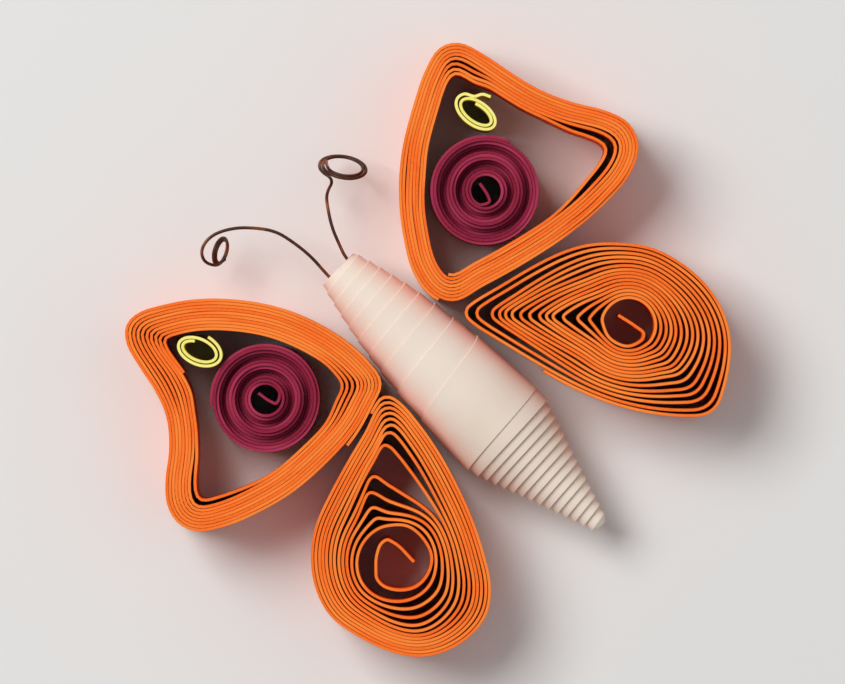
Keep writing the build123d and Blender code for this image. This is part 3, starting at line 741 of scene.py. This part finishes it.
def strip_tree():
    """The node tree that stands a strip of paper along a line. All its sizes are in metres."""
    tree = bpy.data.node_groups.new("strip_on_edge", "GeometryNodeTree")
    face = tree.interface
    face.new_socket("Geometry", in_out="INPUT", socket_type="NodeSocketGeometry")
    for name in ("Strip width", "Paper", "Eased corner", "Unevenness", "Seed"):
        face.new_socket(name, in_out="INPUT", socket_type="NodeSocketFloat")
    face.new_socket("Material", in_out="INPUT", socket_type="NodeSocketMaterial")
    face.new_socket("Geometry", in_out="OUTPUT", socket_type="NodeSocketGeometry")
    given = tree.nodes.new("NodeGroupInput")
    result = tree.nodes.new("NodeGroupOutput")

    def node(kind, inputs, output=0, **settings):
        """Makes one node with the settings and inputs, and returns one of its outputs."""
        made = tree.nodes.new(kind)
        for setting, wanted in settings.items():
            setattr(made, setting, wanted)
        for key, wanted in inputs.items():
            if isinstance(wanted, bpy.types.NodeSocket):
                tree.links.new(wanted, made.inputs[key])
            else:
                made.inputs[key].default_value = wanted
        return made.outputs[output]

    def math_node(operation, first, second=0.0):
        return node("ShaderNodeMath", {0: first, 1: second}, operation=operation)

    width = given.outputs["Strip width"]
    line = node("GeometryNodeMeshToCurve", {"Mesh": given.outputs["Geometry"]})
    line = node("GeometryNodeSetCurveNormal", {"Curve": line}, mode="Z_UP")
    length = node("GeometryNodeSplineParameter", {}, output="Length")
    line = node("GeometryNodeStoreNamedAttribute", {"Geometry": line, "Name": "along", "Value": length},
                data_type="FLOAT", domain="POINT")
    section = node("GeometryNodeCurvePrimitiveQuadrilateral",
                   {"Width": given.outputs["Paper"], "Height": width}, mode="RECTANGLE")
    section = node("GeometryNodeFilletCurve", {"Curve": section, "Radius": given.outputs["Eased corner"]},
                   mode="POLY")
    across = node("ShaderNodeSeparateXYZ", {0: node("GeometryNodeInputPosition", {})}, output=1)
    limit = math_node("MULTIPLY", width, near_edge)
    on_edge = math_node("GREATER_THAN", math_node("ABSOLUTE", across), limit)
    section = node("GeometryNodeStoreNamedAttribute", {"Geometry": section, "Name": "edge", "Value": on_edge},
                   data_type="FLOAT", domain="POINT")
    strip = node("GeometryNodeCurveToMesh", {"Curve": line, "Profile Curve": section, "Fill Caps": True})
    height = node("ShaderNodeSeparateXYZ", {0: node("GeometryNodeInputPosition", {})}, output=2)
    upper = math_node("GREATER_THAN", height, math_node("MULTIPLY", width, 0.5))
    along = node("GeometryNodeInputNamedAttribute", {"Name": "along"}, data_type="FLOAT")
    along = math_node("ADD", along, given.outputs["Seed"])
    wave = node("ShaderNodeTexNoise", {"W": along, "Scale": wave_lumps, "Detail": 1.0},
                noise_dimensions="1D")
    wave = math_node("MULTIPLY", math_node("SUBTRACT", wave, 0.5), given.outputs["Unevenness"])
    offset = node("ShaderNodeCombineXYZ", {2: math_node("MULTIPLY", wave, upper)})
    strip = node("GeometryNodeSetPosition", {"Geometry": strip, "Offset": offset})
    strip = node("GeometryNodeRealizeInstances", {"Geometry": strip})
    strip = node("GeometryNodeSetMaterial", {"Geometry": strip, "Material": given.outputs["Material"]})
    tree.links.new(strip, result.inputs[0])
    return tree


tree_for_strips = strip_tree()
print("the strip's tree has", len(tree_for_strips.nodes), "nodes")

# %% [markdown]
# ## The wings and coils
# One tree makes all eight strips, each with its own width, seed and paper. A modifier's inputs are set by
# the socket's identifier. The result is turned to a plain mesh, because a plain mesh is what other
# programs can read. The eyespots' turns were pushed up and down in rings, like a telescope: their strip
# is drawn narrower and rides on a wave that depends on the distance from the coil's middle.

# %%
def smooth(mesh, crease):
    """Smooth shading, except across edges that bend more than the crease, in degrees."""
    mesh.polygons.foreach_set("use_smooth", [True] * len(mesh.polygons))
    mesh.set_sharp_from_angle(angle=math.radians(crease))


def shown(name, data):
    """A new object at the origin, linked to the scene."""
    made = bpy.data.objects.new(name, data)
    bpy.context.scene.collection.objects.link(made)
    return made


def plain_mesh(carrier):
    """What a carrier object is evaluated to, as a plain mesh. The carrier is deleted."""
    bpy.context.view_layer.update()
    mesh = bpy.data.meshes.new_from_object(carrier.evaluated_get(bpy.context.evaluated_depsgraph_get()))
    bpy.data.objects.remove(carrier)
    return mesh


def piece_from(name, mesh, node_name):
    """An object at the origin that stands for one CAD node."""
    mesh.name = name
    piece = shown(name, mesh)
    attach(piece, "root")
    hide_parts(node_name)
    print(f"{name}: {len(mesh.polygons)} faces")
    return piece


def strip_piece(node_name, line, heights, settings):
    """The strip along a line, made by the tree and then turned to a plain mesh."""
    points = np.column_stack([(line + shift) * mm, heights * mm])
    path = bpy.data.meshes.new(node_name + "_line")
    path.from_pydata(points.tolist(), [(index, index + 1) for index in range(len(points) - 1)], [])
    carrier = shown(node_name + "_line", path)
    modifier = carrier.modifiers.new("strip", "NODES")
    modifier.node_group = tree_for_strips
    for item in tree_for_strips.interface.items_tree:
        if item.in_out == "INPUT" and item.name in settings:
            modifier[item.identifier] = settings[item.name]
    mesh = plain_mesh(carrier)
    smooth(mesh, 35)
    return piece_from(node_name + "_paper", mesh, node_name)


slots = {"forewing": "orange_paper", "hindwing": "orange_paper", "eyespot_coil": "magenta_paper",
         "loose_coil": "yellow_paper"}
swollen_paper = 0.145      # a cut edge is a little thicker than the paper, so that wound turns all but touch
telescoped = 0.95          # how far the eyespots' turns stand above and below each other
wave_turns = 5.2           # turns from one raised ring of an eyespot to the next
wave_start = 0.2           # how far in from an eyespot's rim its first raised ring is
eased_corner = 0.012       # of the strip's section
unevenness = 0.22          # between the upper edge's highest and lowest places
seed_step = 0.37           # from one strip's seed to the next
for seed, (name, line) in enumerate(lines.items()):
    kind = name.split("_", 1)[1]
    width = strip_width
    heights = np.full(len(line), width / 2)
    if kind == "eyespot_coil":
        width = strip_width - telescoped
        radius = np.maximum(np.linalg.norm(line - eyespot_centres[name], axis=1), eyespot_hole)
        wave = 0.5 + 0.5 * np.cos(2 * math.pi * (radius.max() - wave_start - radius) / (wave_turns * pitch))
        heights = width / 2 + telescoped * wave
    strip_piece(name, line, heights,
                {"Strip width": width * mm, "Paper": swollen_paper * mm, "Eased corner": eased_corner * mm,
                 "Unevenness": unevenness * mm, "Seed": seed_step * seed, "Material": materials[slots[kind]]})

# %% [markdown]
# ## The body
# The body is a long tapering strip rolled to a bead. Its rings are the edges of the turns: each edge
# winds round the bead and comes back one step further on, which is why the edges look slanted.

# %%
places_round = 144
wrap_slant = 0.9           # how far the outermost turn's edge climbs in going once round
edge_run = 0.012           # length over which the radius steps from one turn to the next
pressed = 0.5              # share of each step toward the head that is pressed flat
tail_tip = 0.3             # radius of the flat tip of the tail
lip = 0.03                 # rounding of each turn's edge on the flat head end
rim_drop = 0.01            # how far below the head end the rim's rounding starts
groove = 0.06              # depth between two turns on the flat head end
sunk = 0.001               # how far the inner turns stand below the outermost one there


def level(place, radius):
    """A ring that doesn't climb: the place and radius where it starts, and the same where it ends."""
    return (place, radius, place, radius)


def bead_rings():
    """Rings from the tail over the head and down the bore, each with its place and radius at both ends."""
    steps = body_steps()
    following = steps[1:] + [(head_reach, steps[-1][1])]
    widest = max(range(len(steps)), key=lambda index: steps[index][1])
    following[widest] = (wrap_edge + wrap_slant, body_radius)
    rings = []
    before = steps[:1] + steps
    for (place, radius), (next_place, next_radius), (_, last_radius) in zip(steps, following, before):
        flat = max(0, pressed * (last_radius - radius))
        rings.append((place, last_radius - flat, next_place, radius - flat))
        rings.append((place + edge_run, radius, next_place + edge_run, next_radius))
    rings[0] = level(steps[0][0], tail_tip)
    head = steps[-1][1]
    rings += [level(head_reach - rim_drop, head), level(head_reach, head - lip)]
    for turn in range(1, int((head - bore_radius) / pitch) + 1):
        edge = head - turn * pitch
        if edge > bore_radius + lip:
            rings.append(level(head_reach - sunk, edge + lip))
            rings.append(level(head_reach - groove, edge + lip / 2))
            rings.append(level(head_reach - sunk, edge))
    rings.append(level(head_reach, bore_radius))
    rings.append(level(head_reach - bore_depth, bore_radius))
    rings.append(level(head_reach - bore_tip_depth, bore_tip_radius))
    return rings


def bead_mesh(rings):
    """The rings' corners joined to a closed skin, leant to the left as the body is."""
    share = np.arange(places_round) / places_round
    angle = -2 * math.pi * share - math.pi / 2
    start_place, start_radius, end_place, end_radius = np.array(rings).T[:, :, None]
    place = (1 - share) * start_place + share * end_place
    radius = (1 - share) * start_radius + share * end_radius
    corners = np.stack([radius * np.cos(angle), place, radius * np.sin(angle)], axis=-1).reshape(-1, 3)
    along = 0.9 * place + 0.2 * share
    faces = []
    for start in range(0, (len(rings) - 1) * places_round, places_round):
        for step in range(places_round):
            after = (step + 1) % places_round
            beyond = start + places_round
            faces.append((start + step, start + after, beyond + after, beyond + step))
    faces.append(tuple(range(places_round))[::-1])
    faces.append(tuple(range(len(corners) - places_round, len(corners))))
    mesh = bpy.data.meshes.new("bead")
    mesh.from_pydata((corners * mm).tolist(), [], faces)
    mesh.attributes.new("along", "FLOAT", "POINT").data.foreach_set("value", along.ravel() * mm)
    mesh.transform(Matrix.Translation(Vector((shift[0], shift[1], body_radius)) * mm)
                   @ Matrix.Rotation(math.radians(body_turn), 4, "Z"))
    smooth(mesh, 30)
    return mesh


bead = bead_mesh(bead_rings())
bead.materials.append(materials["cream_paper"])
piece_from("rolled_body_paper", bead, "rolled_body")

# %% [markdown]
# ## The antennae
# Each antenna is a soft copper wire: it starts in the body's bore, sweeps out and ends in a round curl
# that stands on its side, so that from above the curl is an oval.

# %%
corners_a_turn = 8


def curl(centre, half_length, half_width, tilt, start, turns, shrink, advance):
    """Loops of a round curl that is seen tilted: an oval from above, steep from the side."""
    steps = round(abs(turns) * corners_a_turn)
    slope = math.sqrt(half_length ** 2 - half_width ** 2)
    long_way = Vector((*toward(tilt), 0))
    short_way = Vector((*toward(tilt + 90), 0))
    loops = []
    for step in range(steps + 1):
        angle = math.radians(start) + math.copysign(2 * math.pi / corners_a_turn, turns) * step
        size = 1 - shrink * step / steps
        loops.append(Vector(centre) + size * (half_length * math.cos(angle) * long_way
                                              + half_width * math.sin(angle) * short_way
                                              + slope * math.sin(angle) * Vector((0, 0, 1)))
                     + short_way * advance * step / steps)
    return loops


# Each route is given from the middle of the head's end: to the right, toward the front and up.
LEFT_ROUTE = [(-0.61, 0.1, 0), (-0.50, 1.35, 0.1), (-0.62, 2.5, 0.15), (-0.83, 3.45, 0.15),
              (-1.38, 4.25, 0.1), (-2.15, 5.05, 0.1), (-3.12, 5.57, 0.1), (-3.98, 5.5, 0.05),
              (-4.38, 4.95, 0)]
LEFT_LOOPS = curl((-3.46, 4.75, 0), 0.78, 0.34, 27, 195, 2.1, 0.25, -0.15)
RIGHT_ROUTE = [(0.61, 0.1, 0), (0.88, 0.8, 0.05), (1.2, 1.6, 0.1), (1.72, 2.4, 0.1), (2.2, 3.0, 0.05)]
RIGHT_LOOPS = curl((3.68, 3.25, 0), 1.32, 0.66, 125, 75, -2.3, 0.3, -0.1)


def antenna(node_name, side, route, loops):
    """A round wire along a smooth curve through its route."""
    mouth = Vector((0, head_reach, body_radius))
    beside = side * (bore_radius - wire_radius - wire_play)
    in_bore = [(beside, -wire_insert, 0), (beside, -wire_insert / 2, 0)]
    places = [mouth + Vector(place) for place in in_bore + route + loops]
    lean = Matrix.Rotation(math.radians(body_turn), 4, "Z")
    curve = bpy.data.curves.new(node_name + "_curve", "CURVE")
    curve.dimensions = "3D"
    curve.bevel_depth = wire_radius * mm
    curve.bevel_resolution = 3
    curve.use_fill_caps = True
    curve.resolution_u = 8
    spline = curve.splines.new("NURBS")
    spline.points.add(len(places) - 1)
    for point, place in zip(spline.points, places):
        at = lean @ place + Vector((shift[0], shift[1], 0))
        point.co = (*(at * mm), 1)
    spline.order_u = 3
    spline.use_endpoint_u = True
    mesh = plain_mesh(shown(node_name + "_curve", curve))
    mesh.materials.clear()
    mesh.materials.append(materials["copper_wire"])
    mesh.polygons.foreach_set("use_smooth", [True] * len(mesh.polygons))
    return piece_from(node_name + "_wire", mesh, node_name)


antenna("left_antenna", -1, LEFT_ROUTE, LEFT_LOOPS)
antenna("right_antenna", 1, RIGHT_ROUTE, RIGHT_LOOPS)

# %% [markdown]
# ## Floor, light and camera
# The butterfly lies on a plain pale floor. A large soft lamp beyond the head makes the short shadows that
# fall toward the tail, and a pale world fills them. The camera looks straight down from far off, turned
# so that the head points to the upper left.

# %%
floor_half = 0.6           # metres, as are the lamps' and the camera's places
seen_width = 0.0415        # the width of floor that the camera sees
camera_height = 0.5
camera_turn = -44.2        # degrees, so that the head points to the upper left
view_middle = (0.00003, 0.00078)


def floor_piece():
    """A plain pale floor, which is not part of the butterfly."""
    mesh = bpy.data.meshes.new("floor")
    corners = [(x * floor_half, y * floor_half, 0) for x, y in ((-1, -1), (1, -1), (1, 1), (-1, 1))]
    mesh.from_pydata(corners, [], [(0, 1, 2, 3)])
    material, shader, _ = new_material("pale_floor")
    shader.inputs["Base Color"].default_value = (0.78, 0.77, 0.75, 1)
    shader.inputs["Roughness"].default_value = 0.9
    mesh.materials.append(material)
    floor = shown("floor", mesh)
    return floor


def lamp(name, place, size, watts):
    """A square soft lamp that faces the butterfly."""
    light = bpy.data.lights.new(name, "AREA")
    light.shape = "SQUARE"
    light.size = size
    light.energy = watts
    holder = shown(name, light)
    holder.location = place
    holder.rotation_euler = (-Vector(place)).to_track_quat("-Z", "Y").to_euler()
    return holder


def pale_world():
    """An even, slightly cool light from all round, which keeps the shadows open."""
    world = bpy.data.worlds.new("world")
    world.use_nodes = True
    background = world.node_tree.nodes["Background"]
    background.inputs["Color"].default_value = (0.95, 0.97, 1.0, 1)
    background.inputs["Strength"].default_value = 0.30
    return world


def camera():
    """Straight down, far off and with a long lens."""
    lens = bpy.data.cameras.new("camera")
    lens.sensor_width = 36
    lens.lens = camera_height * lens.sensor_width / seen_width
    lens.clip_start = 0.1
    holder = shown("camera", lens)
    holder.location = (*view_middle, camera_height)
    holder.rotation_euler = (0, 0, math.radians(camera_turn))
    return holder


floor_piece()
lamp("window", place=(-0.05, 0.30, 0.42), size=0.28, watts=2.15)
lamp("fill", place=(0.25, -0.25, 0.45), size=0.5, watts=0.30)
bpy.context.scene.world = pale_world()
bpy.context.scene.view_settings.view_transform = "Standard"
bpy.context.scene.camera = camera()
print("the stage is set")
